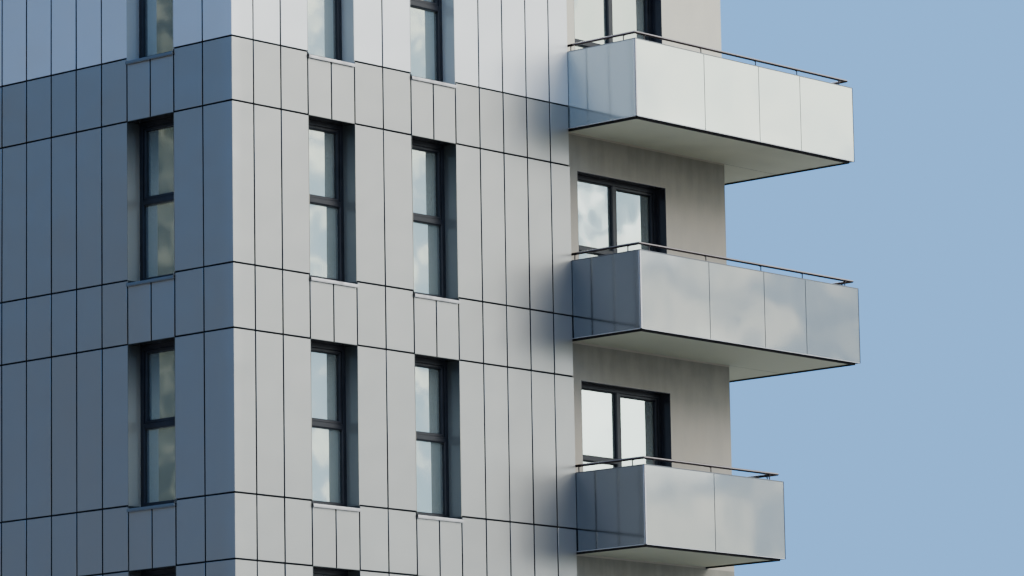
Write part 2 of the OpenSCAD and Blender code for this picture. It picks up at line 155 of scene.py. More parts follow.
backdrop = (0.26, 0.62, 1.22, 1)
front_cool = (0.80, 1.02, 1.24, 1)
front_pale = (2.50, 2.42, 2.08, 1)
front_bright = (4.20, 4.25, 4.00, 1)
front_high = (1.50, 1.54, 1.52, 1)
floor_grey = (0.20, 0.19, 0.17, 1)
back_high = (0.17, 0.45, 1.02, 1)
back_low = (0.150, 0.200, 0.308, 1)
back_dark = (0.050, 0.060, 0.048, 1)
back_light = (0.32, 0.305, 0.23, 1)
front_way = (0.746, -0.666, 0.0)
across_way = (0.666, 0.746, 0.0)
back_way = (-0.682, 0.712, 0.168)
bank_rise, bank_fall = (-0.008, 0.010), (0.036, 0.060)
gap_rise, gap_top = (0.045, 0.075), (0.180, 0.195)
low_gap_rise, low_gap_top = (0.020, 0.030), (0.118, 0.128)
corner_end = (-0.030, -0.008)
patch_edge = (0.742, 0.770)
upper_doors = ((0.168, 0.176), (0.188, 0.194))
lower_doors = ((0.120, 0.128), (0.142, 0.150))
lamps = {"front_lamp": ((0.50, -0.75, 0.62), 2.2, 0.55, (1.0, 0.975, 0.92)),
         "back_lamp": ((0.55, 0.80, 0.55), 1.0, 0.7, (0.86, 0.93, 1.0))}

world = bpy.data.worlds.new("soft_surround")
bpy.context.scene.world = world
world.use_nodes = True
world.node_tree.nodes.clear()
Wire.graph = world.node_tree
aim = Wire.add("ShaderNodeTexCoord", out="Generated")
aim_up = aim.part("Z")
across = aim.along(across_way)
bank = across.between(bank_rise, bank_fall)
gap = across.above(*gap_rise) * (1 - aim_up.above(*gap_top))
low_gap = across.above(*low_gap_rise) * (1 - aim_up.above(*low_gap_top))
near_corner = 1 - across.above(*corner_end)
lumps = noise(95.0, 6.0, (1, 1, 1.8), 0.62, aim) + noise(16.0, at=aim) * 0.5
patches = (lumps + bank * 0.060 - gap * 0.026 - low_gap * 0.080 - near_corner * 0.012).above(*patch_edge)
doors = aim_up.between(*upper_doors) + aim_up.between(*lower_doors)
pale = blend(bank * doors, front_pale, front_bright)
before = blend(aim_up.above(0.30, 0.55), blend(patches, front_cool, pale), front_high)
masses = blend(noise(170.0, 3.0, (1, 1, 1.6), 0.6, aim).above(0.47, 0.60), back_dark, back_light)
dull = blend(aim_up.above(0.24, 0.36), back_low, back_high)
behind = blend(aim.along(back_way).above(0.990, 0.994), dull, masses)
all_round = blend(aim.along(front_way).above(0.0, 0.7), behind, before)
all_round = blend(aim_up.above(-0.04, 0.01), floor_grey, all_round)
seen = Wire.add("ShaderNodeLightPath", out="Is Camera Ray")
light = Wire.add("ShaderNodeBackground", {"Color": blend(seen, all_round, backdrop)})
Wire.add("ShaderNodeOutputWorld", {"Surface": light}, out=None)

for name, (way, power, width, tint) in lamps.items():
    lamp = bpy.data.objects.new(name, bpy.data.lights.new(name, "SUN"))
    lamp.data.energy, lamp.data.angle, lamp.data.color = power, width, tint
    lamp.rotation_euler = Vector(way).to_track_quat("Z", "Y").to_euler()
    bpy.context.scene.collection.objects.link(lamp)


# Floor: a plain pale painted board that the block stands on, a little below its underside. It belongs
# to the studio and not to the block.
floor_reach = 26.0
floor_drop = 0.002
board_pale = (0.37, 0.37, 0.36, 1)
board_paler = (0.41, 0.41, 0.40, 1)


def start_material(name):
    """New material with one Principled shader; the Wires made next go into its graph."""
    made = bpy.data.materials.new(name)
    made.use_nodes = True
    Wire.graph = made.node_tree
    return made


def finish_material(made, colour, **sockets):
    """Gives the Principled shader its colour, and its other sockets by their names of one word."""
    shader = made.node_tree.nodes["Principled BSDF"]
    for key, value in {"Base Color": colour, **sockets}.items():
        if isinstance(value, Wire):
            made.node_tree.links.new(value.socket, shader.inputs[key])
        else:
            shader.inputs[key].default_value = value
    return made


def bump(height, distance):
    """Normal of a surface raised by height times distance, in metres."""
    return Wire.add("ShaderNodeBump", {"Height": height, "Distance": distance, "Strength": 1.0},
                    out="Normal")


board_paint = start_material("pale_board_paint")
finish_material(board_paint, blend(noise(0.15).above(0.3, 0.7), board_pale, board_paler), Roughness=0.9)
floor_mesh = bpy.data.meshes.new("pale_floor")
floor_mesh.from_pydata([(x * floor_reach, y * floor_reach, -floor_drop)
                        for x, y in ((-1, -1), (1, -1), (1, 1), (-1, 1))], [], [(0, 1, 2, 3)])
floor_mesh.materials.append(board_paint)
floor = bpy.data.objects.new("pale_floor", floor_mesh)
bpy.context.scene.collection.objects.link(floor)


# Concrete: the base slab, cast against boards, the floors with their screed and painted ceilings, and
# the roof slab. They are poured in place and carry everything else.
floors = range(1, 6)
cast_grey = (0.36, 0.36, 0.345, 1)
cast_pale = (0.46, 0.46, 0.44, 1)
ceiling_dull = (0.66, 0.65, 0.62, 1)
ceiling_white = (0.72, 0.71, 0.69, 1)


def dress(paint, *names):
    """Gives CAD nodes a material."""
    for name in names:
        for slot in nodes[name].material_slots:
            slot.material = paint


concrete = start_material("cast_concrete")
mottle = noise(1.3, 5.0)
pores = noise(60.0).above(0.60, 0.72)
finish_material(concrete, blend(mottle.above(0.35, 0.65), cast_grey, cast_pale),
                Roughness=0.82 + mottle * 0.12, Normal=bump(mottle * 0.6 - pores * 0.3, 0.002))
dress(concrete, "base_slab", "roof_slab")

ceiling = start_material("painted_ceiling")
finish_material(ceiling, blend(noise(2.0, 4.0).above(0.3, 0.7), ceiling_dull, ceiling_white),
                Roughness=0.85, Normal=bump(noise(90.0), 0.0006))
dress(ceiling, *(f"floor_slab_{k}" for k in floors))


# Walls behind the cladding: masonry with insulation under a dark windproof sheet, plastered inside.
# The sheet shows as a dark backing in the open joints.
sides = ("front", "left", "right", "back")
sheet_black = (0.012, 0.014, 0.020, 1)
plaster_white = (0.60, 0.58, 0.55, 1)
upstand_grey = (0.20, 0.21, 0.21, 1)
wall_depth = 0.45
inner_margin = 0.01
inner_x = -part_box("left_cassettes")[0].x - wall_depth + inner_margin
inner_y = -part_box("front_cassettes")[0].y - wall_depth + inner_margin
roof_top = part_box("roof_slab")[1].z


def inner_face():
    """Colour of a wall's inner face: plaster in the rooms and a grey upstand above the roof."""
    return blend(place().part("Z").above(roof_top - inner_margin, roof_top), plaster_white, upstand_grey)


wall = start_material("sheeted_wall")
spot = place()
outside_x = abs(spot.part("X")).above(inner_x, inner_x + inner_margin)
outside_y = abs(spot.part("Y")).above(inner_y, inner_y + inner_margin)
outside = outside_x.maths("MAXIMUM", outside_y)
finish_material(wall, blend(outside, inner_face(), sheet_black),
                Roughness=0.85, Normal=bump(noise(70.0), 0.0008))
dress(wall, *(f"{side}_{part}" for side in sides for part in ("piers", "spandrels")))


# Rendered bay: thin-coat render on insulation, trowelled with a fine grain. It is stained in faint
# vertical runs, with shade painted in under the balconies; the top storey is coated in a lighter cream.
storey = 3.0
plinth = 0.3
lines = [plinth + storey * k for k in range(7)]
top_line = lines[5]
render_beige = (0.52, 0.475, 0.40, 1)
render_worn = (0.43, 0.40, 0.345, 1)
render_patch = (0.54, 0.46, 0.37, 1)
render_cream = (0.97, 0.90, 0.74, 1)
render_shade_and_grain = (0.205, 0.21, 0.178, 1)
soffit_below = 0.345
shade_reach = 1.0
skin = 0.002
bay_low, bay_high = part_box("front_bay_wall")[0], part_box("right_bay_wall")[1]
bay_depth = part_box("front_bay_wall")[1].y - bay_low.y
bay_inner_x, bay_inner_y = bay_high.x - bay_depth, bay_low.y + bay_depth
side_shade_from = lines[4] - 1.5

render = start_material("trowelled_render")
spot = place()
spot_x, spot_y, spot_z = (spot.part(axis) for axis in "XYZ")
streaks = (noise(7.0, 3.0, (1, 1, 0.18)) * 0.5 + noise(3.0, 5.0) * 0.5).above(0.36, 0.66)
coat = blend(streaks * 0.40, render_beige, render_worn)
coat = blend(noise(1.1, 3.0).above(0.50, 0.72) * 0.35, coat, render_patch)
# Painted shade: darker for shade_reach below the line of each balcony's soffit, left out low on the bay's
# right wall, where no balcony stands over it. The same dark colour also serves the fine grain.
below_soffit = (top_line - soffit_below - spot_z).over(storey)
painted_shade_below = (1 - below_soffit.above(0.0, shade_reach)) * (0.60 + streaks * 0.20)
on_side = spot_x.above(bay_high.x - 2 * skin, bay_high.x - skin)
open_side = on_side * (1 - spot_z.above(side_shade_from, side_shade_from + 0.05))
coat = blend(painted_shade_below * (1 - open_side), coat, render_shade_and_grain)
cream = blend(streaks * 0.10, render_cream, render_beige)
coat = blend(spot_z.above(top_line - 0.02, top_line), coat, cream)
within = (spot_y.above(bay_inner_y - 2 * skin, bay_inner_y - skin)
          * (1 - spot_x.above(bay_inner_x + skin, bay_inner_x + 2 * skin)))
grain = noise(130.0, 4.0)
coat = blend(grain.above(0.35, 0.75) * 0.16, blend(within, coat, inner_face()), render_shade_and_grain)
finish_material(render, coat, Roughness=0.92, Normal=bump(grain + noise(3.0) * 1.5, 0.0012))
dress(render, "front_bay_wall", "right_bay_wall", "bay_lintels")


# Grey cladding: cassettes folded from lacquered aluminium sheet, 30 mm deep, hung on rails with open
# joints. Each is a tray with rolled edges, slightly bowed and out of true, which shows in its gloss.
walls = {"front": np.array([[1, 0, 0], [0, 1, 0], [0, 0, 1]]),
         "left": np.array([[0, 1, 0], [1, 0, 0], [0, 0, 1]]),
         "back": np.array([[1, 0, 0], [0, -1, 0], [0, 0, 1]]),
         "right": np.array([[0, -1, 0], [1, 0, 0], [0, 0, 1]])}
tray_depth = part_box("left_cassettes")[1].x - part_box("left_cassettes")[0].x
tray_edge = 0.0035
tray_bow = 0.0012
tray_tilt = 0.0011
joint_width = 0.022
edge_shade = 0.06
fold_radius = 0.008
sharp_angle = math.radians(30.0)
joint_shade = (0.009, 0.014, 0.030, 1)
silver_clean = (0.490, 0.490, 0.472, 1)
silver_soiled = (0.405, 0.406, 0.392, 1)
chance = np.random.default_rng(11)


def solids(*names):
    """Boxes of the separate solids in CAD nodes, as an array of solid, low or high corner, axis.
    Each point takes the lowest label among those its triangles join it to, until none changes."""
    found = []
    for name in names:
        mesh = nodes[name].data
        mesh.calc_loop_triangles()
        co = np.empty(len(mesh.vertices) * 3, np.float32)
        mesh.vertices.foreach_get("co", co)
        corners = np.empty(len(mesh.loop_triangles) * 3, np.int32)
        mesh.loop_triangles.foreach_get("vertices", corners)
        points, index = np.unique(np.round(co.reshape(-1, 3), 5), axis=0, return_inverse=True)
        triangles = index.ravel()[corners].reshape(-1, 3)
        label, settled = np.arange(len(points)), False
        while not settled:
            lower = label.copy()
            np.minimum.at(lower, triangles.ravel(), np.repeat(label[triangles].min(axis=1), 3))
            settled = np.array_equal(lower, label)
            label = lower
        kinds, which = np.unique(label, return_inverse=True)
        box = np.tile([[np.inf] * 3, [-np.inf] * 3], (len(kinds), 1, 1))
        np.minimum.at(box[:, 0], which.ravel(), points)
        np.maximum.at(box[:, 1], which.ravel(), points)
        found.append(box)
    return np.concatenate(found)


def facing(boxes, middle=(0.0, 0.0)):
    """Wall that each thin box belongs to: thin across Y on the front or back, else left or right."""
    size = boxes[:, 1] - boxes[:, 0]
    centre = boxes.mean(axis=1)
    middle = np.broadcast_to(middle, (len(boxes), 2))
    return np.where(size[:, 1] < size[:, 0],
                    np.where(centre[:, 1] < middle[:, 1], "front", "back"),
                    np.where(centre[:, 0] < middle[:, 0], "left", "right"))


def local(boxes, side):
    """Boxes in the frame of a wall: u along it, d inwards and z up."""
    return np.sort(boxes @ walls[side], axis=1)


def grid(count, rows, columns, close_rows=False, close_columns=False):
    """Four-sided faces between the rows and columns of count grids of points, one after the other."""
    row = np.arange(rows if close_rows else rows - 1)[:, None]
    column = np.arange(columns if close_columns else columns - 1)[None]
    next_row, next_column = (row + 1) % rows, (column + 1) % columns
    face = np.stack([row * columns + column, next_row * columns + column,
                     next_row * columns + next_column, row * columns + next_column], axis=-1).reshape(-1, 4)
    return (face + (np.arange(count) * rows * columns)[:, None, None]).reshape(-1, 4)


def trays(boxes, edge, bow=0.0, tilt=0.0, closed=False):
    """A grid laid over each box: its outer ring runs along the back, the next one along the front edge
    and the rest lies on the face. The depth of a point is the larger of its row's and its column's,
    plus a lean that grows evenly along u and z."""
    (u0, d0, z0), (u1, d1, z1) = (boxes[:, end].T for end in (0, 1))
    deep = d1 - d0
    still = np.zeros(len(boxes))
    along = np.stack([u0, u0, u0 + edge, (u0 + u1) / 2, u1 - edge, u1, u1], axis=1)
    height = np.stack([z0, z0, z0 + edge, (z0 + z1) / 2, z1 - edge, z1, z1], axis=1)
    fall = np.stack([deep, still + edge + bow, still + bow, still, still + bow, still + edge + bow, deep],
                    axis=1)
    depth = np.maximum(fall[:, :, None], fall[:, None, :])
    lean_u, lean_z = chance.normal(0, tilt, (2, len(boxes))) if tilt else (still, still)
    u, z = np.broadcast_arrays(along[:, :, None], height[:, None, :])
    lean = lean_u[:, None, None] * u + lean_z[:, None, None] * z
    lean -= lean.min(axis=(1, 2))[:, None, None]
    depth = np.minimum(depth + lean, deep[:, None, None])
    points = np.stack([u, d0[:, None, None] + depth, z], axis=-1).reshape(-1, 3)
    faces = [grid(len(boxes), 7, 7)]
    if closed:
        first = (np.arange(len(boxes)) * 49)[:, None]
        faces.append(first + np.array([[0, 6, 48, 42]]))
    return points, faces


def corner_trays(leg_u, leg_d, heights):
    """Trays that fold round a corner. The plan is two legs joined by an arc; every point of it moves
    inwards as it falls back, straight in on the legs and towards the inner corner on the arc."""
    edge, bow, deep = tray_edge, tray_bow, tray_depth
    turn = np.radians([0, 30, 60, 90])
    arc = np.stack([fold_radius * (1 - np.sin(turn)), fold_radius * (1 - np.cos(turn))], axis=1)
    plan = np.concatenate([[[leg_u, 0], [leg_u, 0], [leg_u - edge, 0], [leg_u / 2, 0]], arc,
                           [[0, leg_d / 2], [0, leg_d - edge], [0, leg_d], [0, leg_d]]])
    inwards = np.concatenate([[[0, 1]] * 4, (deep - arc) / deep, [[1, 0]] * 4])
    fall_plan = np.array([deep, edge + bow, bow, bow / 2, 0, 0, 0, 0, bow / 2, bow, edge + bow, deep])
    z0, z1 = heights.T
    height = np.stack([z0, z0, z0 + edge, z1 - edge, z1, z1], axis=1)
    fall_z = np.array([deep, edge, 0, 0, edge, deep])
    depth = np.maximum(fall_plan[:, None], fall_z[None])
    u, d = plan.T[..., None] + inwards.T[..., None] * depth
    points = np.stack(np.broadcast_arrays(u, d, height[:, None]), axis=-1).reshape(-1, 3)
    return points, [grid(len(heights), 12, 6)[:, ::-1]]


def build(name, paint, slot, batches, *replaced):
    """One piece from batches of local points, lists of faces, the wall's matrix and a tone a batch."""
    points, loops, sizes, marks, base = [], [], [], [], 0
    for local_points, faces, matrix, tone in batches:
        points.append(local_points @ matrix.T)
        marks.append(np.broadcast_to(tone, (2, len(local_points))))
        for some in faces:
            turned = some if np.linalg.det(matrix) > 0 else some[:, ::-1]
            loops.append((turned + base).ravel())
            sizes.append(np.full(len(some), some.shape[1]))
        base += len(local_points)
    points, loops = np.concatenate(points), np.concatenate(loops).astype(np.int32)
    sizes, marks = np.concatenate(sizes).astype(np.int32), np.concatenate(marks, axis=1)
    starts = np.concatenate([[0], np.cumsum(sizes)[:-1]]).astype(np.int32)
    mesh = bpy.data.meshes.new(name)
    mesh.vertices.add(len(points))
    mesh.vertices.foreach_set("co", points.astype(np.float32).ravel())
    mesh.loops.add(len(loops))
    mesh.loops.foreach_set("vertex_index", loops)
    mesh.polygons.add(len(sizes))
    mesh.polygons.foreach_set("loop_start", starts)
    mesh.polygons.foreach_set("loop_total", sizes)
    mesh.polygons.foreach_set("use_smooth", np.ones(len(sizes), bool))
    mesh.update(calc_edges=True)
    for kind, values in zip(("tone", "recess_shade"), marks):
        mesh.attributes.new(kind, "FLOAT", "POINT").data.foreach_set("value", values.astype(np.float32))
    mesh.set_sharp_from_angle(angle=sharp_angle)
    mesh.materials.append(paint)
    made = bpy.data.objects.new(name, mesh)
    bpy.context.scene.collection.objects.link(made)
    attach(made, "root")
    if replaced:
        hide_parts(*replaced)


def tones(count, painted_recess):
    """One tone from -1 to 1 a cassette, repeated for all its points, and the painted shade of each point, 1
    at its back.
    """
    return np.stack([np.repeat(chance.uniform(-1, 1, count), painted_recess.size),
                     np.tile(painted_recess.ravel(), count)])


def rim(rows, columns):
    """1 on the outermost points of a grid, a trace of painted shade on the next ring and 0 on the others.
    """
    mask = np.ones((rows, columns))
    mask[1:-1, 1:-1] = edge_shade
    mask[2:-2, 2:-2] = 0
    return mask


def cut_back(some, folded):
    """Flat cassettes cut back to a full joint where they stand too close to a folded one."""
    for end, way in ((0, 1), (1, -1)):
        gap = (some[:, None, end, 0] - folded[None, :, 1 - end, 0]) * way
        beside = (gap > 0) & (gap < joint_width)
        some[:, end, 0] += way * np.where(beside, joint_width - gap, 0).max(axis=1)
    return some


def cassettes(boxes):
    """Batches for the flat cassettes among some boxes, wall by wall, and for those folded round the three
    clad corners, whose signs point inwards along X and Y."""
    size = boxes[:, 1] - boxes[:, 0]
    thin = size[:, :2].min(axis=1) < 2 * tray_depth
    flat, folded = boxes[thin], boxes[~thin]
    batches = []
    for side in walls:
        some = local(flat[facing(flat) == side], side)
        if len(some):
            some = cut_back(some, local(corner_boxes, side))
            points, faces = trays(some, tray_edge, tray_bow, tray_tilt)
            batches.append((points, faces, walls[side], tones(len(some), rim(7, 7))))
    signs = -np.sign(folded[:, :, :2].mean(axis=1))
    for way in np.array([[1, 1], [1, -1], [-1, -1]]):
        here = folded[(signs == way).all(axis=1)]
        if len(here):
            low, high = here[0, :, :2]
            points, faces = corner_trays(*(high - low), here[:, :, 2])
            points = points + [*(way * np.where(way > 0, low, high)), 0]
            batches.append((points, faces, np.diag([*way, 1]), tones(len(here), rim(12, 6))))
    return batches


def mark(name):
    """Value of an attribute that a piece's points carry."""
    return Wire.add("ShaderNodeAttribute", out="Fac", attribute_name=name)


def lacquer(name, clean, soiled, metallic, roughness):
    """Lacquered sheet: each cassette's tone, faint soiling along its length, painted shade on its returns
    into the joints and a fine orange peel.
    """
    made = start_material(name)
    tone = mark("tone")
    # Painted shade: the tray's returns into the joints, and a trace of its rolled edge, take the dark joint
    # colour.
    recess_shade = mark("recess_shade").above(0.0, 0.10)
    soil = noise(0.9, 4.0, (1, 1, 0.35)).above(0.35, 0.75)
    face = blend((tone * 0.16 + soil * 0.22 + 0.28).maths("MINIMUM", 1.0), clean, soiled)
    peel = noise(420.0, 1.0)
    swell = noise(1.7, 1.0)
    return finish_material(made, blend(recess_shade, face, joint_shade), Metallic=metallic,
                           Roughness=roughness + tone * 0.03 + soil * 0.05,
                           Normal=bump(swell * 8.0 + peel * 0.05, 0.0010))


corner_boxes = solids("corner_cassettes")
silver_lacquer = lacquer("silver_grey_lacquer", silver_clean, silver_soiled, 0.76, 0.31)
for side in (*sides, "corner"):
    node = f"{side}_cassettes"
    build(f"{side}_trays", silver_lacquer, "grey_cassette", cassettes(solids(node)), node)


# White cladding of the top storey and the parapet: the same cassettes of folded aluminium sheet, hung
# in the same way, in a plain white lacquer.
white_clean = (0.93, 0.945, 0.95, 1)
white_soiled = (0.87, 0.885, 0.90, 1)

white_lacquer = lacquer("white_lacquer", white_clean, white_soiled, 0.45, 0.31)
build("top_trays", white_lacquer, "white_cassette", cassettes(solids("top_cassettes")), "top_cassettes")


# Linings of the openings: smooth sheet folded into the sides and the head, dark on the grey storeys
# and white on the top one. Light and shade are painted in: the sides in the left and right walls take a
# lit tone below and the others a shaded one, all darken towards the head, and the head is near-black.
lining_shaded = (0.265, 0.275, 0.255, 1)
lining_lit = (0.56, 0.525, 0.43, 1)
lining_shade = (0.090, 0.100, 0.100, 1)
lining_head_shade = (0.030, 0.028, 0.030, 1)
lining_light = (0.66, 0.69, 0.69, 1)
lining_door = (0.055, 0.055, 0.070, 1)
shade_heights = (1.1, 2.2)
white_from = top_line - 0.10
doors_beyond_x, doors_before_y = 1.50, -1.60
square_on = (0.5, 0.6)


def turned_to(axis):
    """How far the surface turns to an axis, from -1 to 1."""
    return Wire.add("ShaderNodeNewGeometry", out="True Normal").part(axis)


lining = start_material("opening_lining")
spot = place()
spot_x, spot_y, spot_z = (spot.part(axis) for axis in "XYZ")
at_top = spot_z.above(white_from, white_from + 0.01)
at_door = (spot_x.above(doors_beyond_x, doors_beyond_x + 0.01)
           * (1 - spot_y.above(doors_before_y, doors_before_y + 0.01)))
# Painted light and shade: a lit tone where the surface turns along Y, a shaded one elsewhere, darker
# towards the head and near-black on faces turned up or down.
below = blend(abs(turned_to("Y")).above(*square_on), lining_shaded, lining_lit)
below = blend((spot_z - plinth).over(storey).above(*shade_heights), below, lining_shade)
below = blend(abs(turned_to("Z")).above(*square_on), below, lining_head_shade)
finish_material(lining, blend(at_door, blend(at_top, below, lining_light), lining_door), Metallic=0.30,
                Roughness=0.11 + noise(3.0) * 0.06, Normal=bump(noise(2.5, 1.0), 0.0015))
dress(lining, "window_linings")


# Sills: lacquered sheet folded over the lower edge of each opening, falling to a rolled nose, with an
# upstand at each end.
sill_clean = (0.46, 0.46, 0.47, 1)
sill_dusty = (0.36, 0.36, 0.365, 1)
sill_side_shade = (0.20, 0.195, 0.185, 1)
nose_radius = 0.006
nose_fall = 0.010
nose_depth = 0.008
seat_rise = 0.012
upstand_width = 0.004
upstand_height = 0.018
upstand_back = 0.012
upstand_lift = 0.020
upstand_edge = 0.0012
block_edge = 0.002


def loft(points):
    """Tubes through their rings of points: the faces round them and a cap on each of their ends."""
    count, rows, columns = points.shape[:3]
    first = (np.arange(count) * rows * columns)[:, None]
    return points.reshape(-1, 3), [grid(count, rows, columns, close_columns=True),
                                   first + np.arange(columns)[::-1],
                                   first + (rows - 1) * columns + np.arange(columns)]


def extrude(boxes, profile):
    """A closed profile, as depths and heights of the points a box, carried along the u of each box."""
    d, z = profile[:, :, None]
    return loft(np.stack(np.broadcast_arrays(boxes[:, :, 0, None], d, z), axis=-1))


def sill_profile(boxes):
    """From the foot of the nose up over its rolled edge, up the slope, and back under."""
    d0, d1, z0, z1 = boxes[:, 0, 1], boxes[:, 1, 1], boxes[:, 0, 2], boxes[:, 1, 2]
    seat = z0 + seat_rise
    nose = z1 - nose_fall
    cut = 0.3 * nose_radius
    outline = [(d0, z0), (d0, nose - nose_radius), (d0 + cut, nose - cut), (d0 + nose_radius, nose),
               (d1, z1), (d1, seat), (d0 + nose_depth, seat), (d0 + nose_depth, z0)]
    return np.array(outline).transpose(1, 2, 0)


def blocks(boxes, side, edge=block_edge):
    """Batch of closed blocks with softened edges on one wall."""
    return (*trays(boxes, edge, closed=True), walls[side], 0.0)


sheet = start_material("sill_sheet")
dust = noise(7.0, 4.0).above(0.40, 0.75)
# Painted shade: faces turned along X, the ends of all sills and most of the sills in the left and right
# walls, take a darker tone.
x_facing_shade = abs(turned_to("X")).above(0.02, 0.06)
finish_material(sheet, blend(x_facing_shade, blend(dust, sill_clean, sill_dusty), sill_side_shade),
                Metallic=0.5, Roughness=0.40 + dust * 0.2, Normal=bump(noise(300.0, 1.0), 0.0001))
sill_boxes = solids("window_sills")
batches = []
for side in walls:
    some = local(sill_boxes[facing(sill_boxes) == side], side)
    batches.append((*extrude(some, sill_profile(some)), walls[side], 0.0))
    for end, way in ((0, 1), (1, -1)):
        upstand = some.copy()
        upstand[:, 1 - end, 0] = some[:, end, 0] + way * upstand_width
        upstand[:, 0, 1] += upstand_back
        upstand[:, 0, 2] += upstand_lift
        upstand[:, 1, 2] += upstand_height
        batches.append(blocks(upstand, side, upstand_edge))
build("folded_sills", sheet, "sheet_metal", batches, "window_sills")


# Windows and balcony doors: dark coated profiles. A fixed frame with a transom or mullion, an opening
# sash set a step back behind a shadow gap, a bead round the fixed light and a black gasket on the glass.
frame_width = 0.065
sash_width = 0.045
sash_step = 0.012
shadow_gap = 0.003
profile_edge = 0.003
gasket = 0.006
gasket_lip = 0.005
bead_width = 0.012
glazing_slope = 0.010
pane_reach = 0.07
coat_dark = (0.011, 0.013, 0.020, 1)
coat_worn = (0.020, 0.022, 0.030, 1)
rubber_dark = (0.006, 0.006, 0.007, 1)
rubber_worn = (0.014, 0.014, 0.015, 1)


def spans(low, high):
    """Boxes between two corners, each given as arrays of u, d and z."""
    return np.array([low, high]).transpose(2, 0, 1)


def rings(rects, depth, profile):
    """Mitred frames: a closed profile of insets and depths is carried round each rectangle in u and z."""
    (u0, _, z0), (u1, _, z1) = (rects[:, end].T[..., None] for end in (0, 1))
    inset, fall = np.array(profile).T[:, None]
    u = np.stack(np.broadcast_arrays(u0 + inset, u1 - inset, u1 - inset, u0 + inset), axis=1)
    z = np.stack(np.broadcast_arrays(z0 + inset, z0 + inset, z1 - inset, z1 - inset), axis=1)
    d = np.broadcast_to((depth[:, None] + fall)[:, None], u.shape)
    return (np.stack([u, d, z], axis=-1).reshape(-1, 3),
            [grid(len(rects), 4, len(profile), close_rows=True, close_columns=True)])


def window_batches(frames, panes, side):
    """Frame, bars, sash, bead and gasket for each frame of a wall and the panes that stand in it."""
    matrix = walls[side]
    centre = panes.mean(axis=1)
    home = np.all((frames[:, None, 0, ::2] < centre[None, :, ::2])
                  & (centre[None, :, ::2] < frames[:, None, 1, ::2]), axis=2).argmax(axis=0)
    held = frames[home]
    back = frames[0, 1, 1] - frames[0, 0, 1]
    front = held[:, 0, 1]
    glass = (panes[:, 0, 1] - front).min()
    opens = panes[:, 0, 1] - front > glass + sash_step / 2
    fixed = ~opens
    width = sash_width - shadow_gap
    sash = panes[opens].copy()
    sash[:, 0, ::2] -= width
    sash[:, 1, ::2] += width
    frame_profile = [(0, back), (0, profile_edge), (profile_edge, 0), (frame_width - profile_edge, 0),
                     (frame_width, profile_edge), (frame_width, back)]
    sash_profile = [(0, back), (0, sash_step + profile_edge), (profile_edge, sash_step),
                    (width - glazing_slope, sash_step), (width, sash_step + glazing_slope), (width, back)]
    bead_profile = [(0, profile_edge), (bead_width, bead_width), (bead_width, glass), (0, glass)]
    rubber_profile = [(0, -gasket_lip), (gasket, -gasket_lip / 2), (gasket, 0), (0, 0)]

    (u0, _, z0), (u1, _, z1) = panes[:, 0].T, panes[:, 1].T
    foot, head = held[:, 0, 2], held[:, 1, 2]
    same = home[:, None] == home
    below, above = np.nonzero(same & (z0 > z1[:, None]) & (u0 < u1[:, None]) & (u0[:, None] < u1))
    left, right = np.nonzero(same & (u0 > u1[:, None]) & (z0[:, None] < z0 + sash_width)
                             & (fixed & (z0 - foot < 2 * frame_width))[:, None])
    reach = np.where(opens, sash_width, 0.0)
    transoms = spans([u0[below], front[below], z1[below]],
                     [u1[below], front[below] + back, z0[above] - reach[above]])
    mullions = spans([u1[left], front[left], foot[left] + frame_width],
                     [u0[right] - reach[right], front[left] + back, head[left] - frame_width])
    body = [(*rings(frames, frames[:, 0, 1], frame_profile), matrix, 0.0),
            (*rings(sash, front[opens], sash_profile), matrix, 0.0),
            (*rings(panes[fixed], front[fixed], bead_profile), matrix, 0.0),
            blocks(np.concatenate([transoms, mullions]), side, profile_edge)]
    rubber_depth = front + glass + np.where(opens, sash_step, 0.0)
    return body, [(*rings(panes, rubber_depth, rubber_profile), matrix, 0.0)]


def mottled(name, scale, one, other, **sockets):
    """Material whose colour wanders between two tones, with the other sockets named by one word."""
    made = start_material(name)
    return finish_material(made, blend(noise(scale), one, other), **sockets)


coated = start_material("dark_profile_coat")
finish_material(coated, blend(noise(4.0).above(0.3, 0.7), coat_dark, coat_worn), Metallic=0.1,
                Roughness=0.34 + noise(35.0) * 0.08, Normal=bump(noise(500.0, 1.0), 0.00008))
rubber = mottled("gasket_rubber", 30.0, rubber_dark, rubber_worn, Roughness=0.7)
frame_boxes = solids(*(f"{side}_window_frames" for side in sides))
door_boxes = solids("balcony_door_frames")
pane_boxes = solids(*(f"{side}_glass" for side in sides))
units = {f"{kind}_units": [] for kind in (*(f"{side}_window" for side in sides), "balcony_door")}
gaskets = []
for side in walls:
    panes = local(pane_boxes[facing(pane_boxes) == side], side)
    for boxes, kind in ((frame_boxes, f"{side}_window_units"), (door_boxes, "balcony_door_units")):
        some = local(boxes[facing(boxes) == side], side)
        if len(some):
            behind = panes[:, 0, 1, None] - some[None, :, 0, 1]
            near = ((behind > 0) & (behind < pane_reach)).any(axis=1)
            body, black = window_batches(some, panes[near], side)
            units[kind] += body
            gaskets += black
for kind, batches in units.items():
    build(kind, coated, "window_frame", batches, kind.replace("_units", "_frames"))
build("glazing_gaskets", rubber, "window_frame", gaskets)


# Glass: sealed units of two panes, held in the frames by the gaskets. The outer pane is coated and
# mirrors what stands before it, over a soft green body.
glass_tint = (0.66, 0.78, 0.76, 1)
glass_clear = (0.72, 0.82, 0.80, 1)

